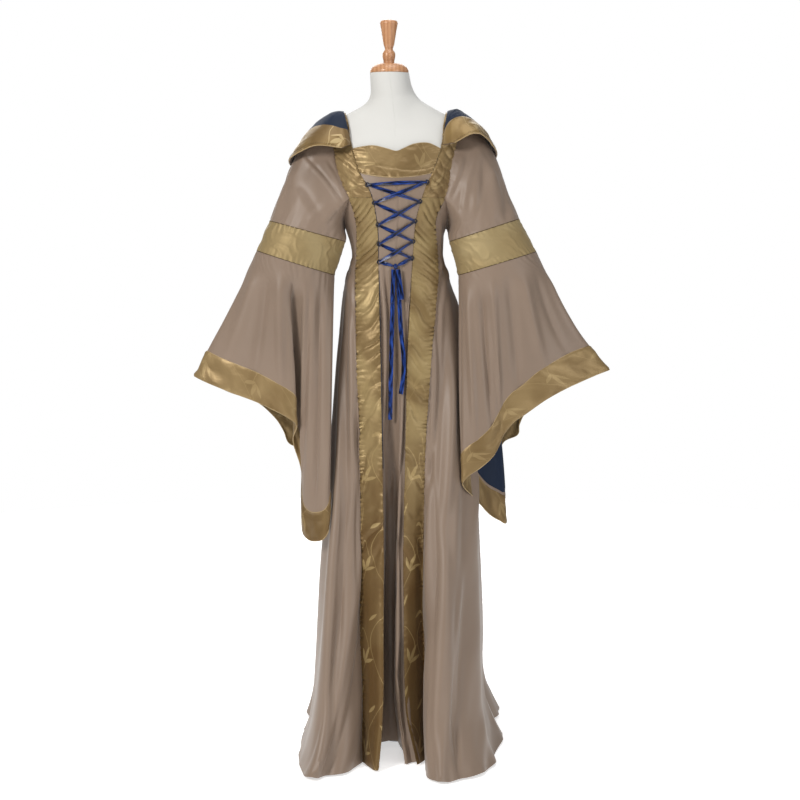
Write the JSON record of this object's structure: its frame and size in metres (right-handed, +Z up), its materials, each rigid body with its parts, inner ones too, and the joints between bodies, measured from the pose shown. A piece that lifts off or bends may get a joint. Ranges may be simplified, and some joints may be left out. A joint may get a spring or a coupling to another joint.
{
  "type": "medieval gown on a limbless dress form",
  "caption": "Floor-length medieval style gown with laced front, bell sleeves and a hood laid back, standing on a limbless dress form.",
  "frame": {"origin": "on the floor, at the centre of the underside of the form's stand hub", "axes": "+Z up along the form's pole, -Y to the gown's front, +X to the wearer's left"},
  "size_m": [0.9453, 0.7348, 1.6583],
  "materials": {
    "taupe_satin": "soft satin",
    "gold_jacquard": "glossy satin",
    "navy_lining": "satin",
    "blue_ribbon": "satin",
    "loop_cord": "matt",
    "form_cover": "matt",
    "turned_wood": "varnished",
    "steel_stand": "satin"
  },
  "bodies": {
    "root": {"back_right": "taupe_satin", "side_front_right": "taupe_satin", "front_band_right": "gold_jacquard", "front_centre": "taupe_satin", "front_band_left": "gold_jacquard", "side_front_left": "taupe_satin", "back_left": "taupe_satin", "strap_right": "gold_jacquard", "strap_left": "gold_jacquard", "yoke": "gold_jacquard", "upper_sleeve_right": "taupe_satin", "elbow_band_right": "gold_jacquard", "bell_right": "taupe_satin", "bell_lining_right": "navy_lining", "cuff_trim_right": "gold_jacquard", "upper_sleeve_left": "taupe_satin", "elbow_band_left": "gold_jacquard", "bell_left": "taupe_satin", "bell_lining_left": "navy_lining", "cuff_trim_left": "gold_jacquard", "hood_shell": "taupe_satin", "hood_lining": "navy_lining", "hood_facing": "gold_jacquard", "lace_loop_right_1": "loop_cord", "lace_loop_left_1": "loop_cord", "lace_loop_right_2": "loop_cord", "lace_loop_left_2": "loop_cord", "lace_loop_right_3": "loop_cord", "lace_loop_left_3": "loop_cord", "lace_loop_right_4": "loop_cord", "lace_loop_left_4": "loop_cord", "lace_loop_right_5": "loop_cord", "lace_loop_left_5": "loop_cord", "lace_top": "blue_ribbon", "lace_under_1": "blue_ribbon", "lace_over_1": "blue_ribbon", "lace_under_2": "blue_ribbon", "lace_over_2": "blue_ribbon", "lace_under_3": "blue_ribbon", "lace_over_3": "blue_ribbon", "lace_under_4": "blue_ribbon", "lace_over_4": "blue_ribbon", "lace_to_knot_right": "blue_ribbon", "lace_to_knot_left": "blue_ribbon", "lace_knot": "blue_ribbon", "lace_bow_right": "blue_ribbon", "lace_bow_left": "blue_ribbon", "lace_end_right": "blue_ribbon", "lace_end_left": "blue_ribbon", "form_torso": "form_cover", "form_cap": "turned_wood", "form_finial": "turned_wood", "stand_pole": "steel_stand", "stand_hub": "steel_stand", "stand_leg_1": "steel_stand", "stand_leg_2": "steel_stand", "stand_leg_3": "steel_stand"}
  },
  "joints": []
}
